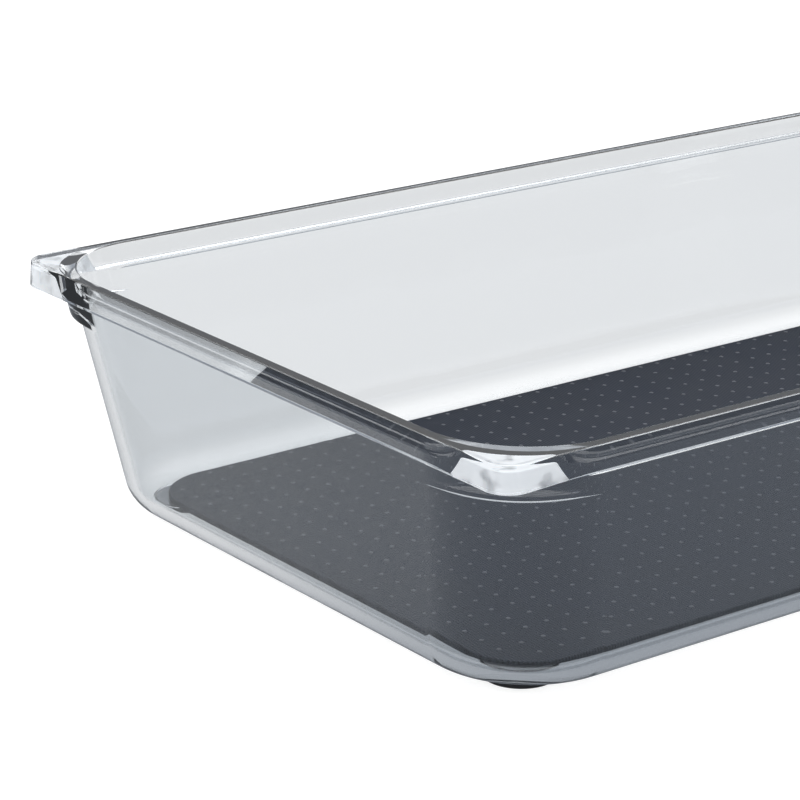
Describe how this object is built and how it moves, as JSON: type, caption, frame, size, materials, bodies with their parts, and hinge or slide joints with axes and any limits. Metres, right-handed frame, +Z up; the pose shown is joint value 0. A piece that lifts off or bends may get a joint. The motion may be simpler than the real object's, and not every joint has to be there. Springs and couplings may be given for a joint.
{
  "type": "drawer organizer insert",
  "caption": "Clear rectangular drawer tray with sloping walls, a squared rim and shouldered corners, a textured liner laid in its floor and round rubber feet.",
  "frame": {"origin": "on the surface the feet stand on, under the middle of the tray", "axes": "+X along the long side, +Y across the tray, +Z up"},
  "size_m": [0.3048, 0.1524, 0.0505],
  "materials": {
    "clear_plastic": "clear, polished as moulded",
    "liner_mat": "matte dark slate, fine weave with small pale raised dots",
    "foot_rubber": "matte black rubber",
    "adhesive": "thin translucent adhesive film"
  },
  "bodies": {
    "root": {"tray": "clear_plastic", "liner": "liner_mat", "liner_adhesive": "adhesive", "foot_front_left": "foot_rubber", "foot_front_right": "foot_rubber", "foot_back_left": "foot_rubber", "foot_back_right": "foot_rubber", "foot_adhesive_front_left": "adhesive", "foot_adhesive_front_right": "adhesive", "foot_adhesive_back_left": "adhesive", "foot_adhesive_back_right": "adhesive"}
  },
  "joints": []
}
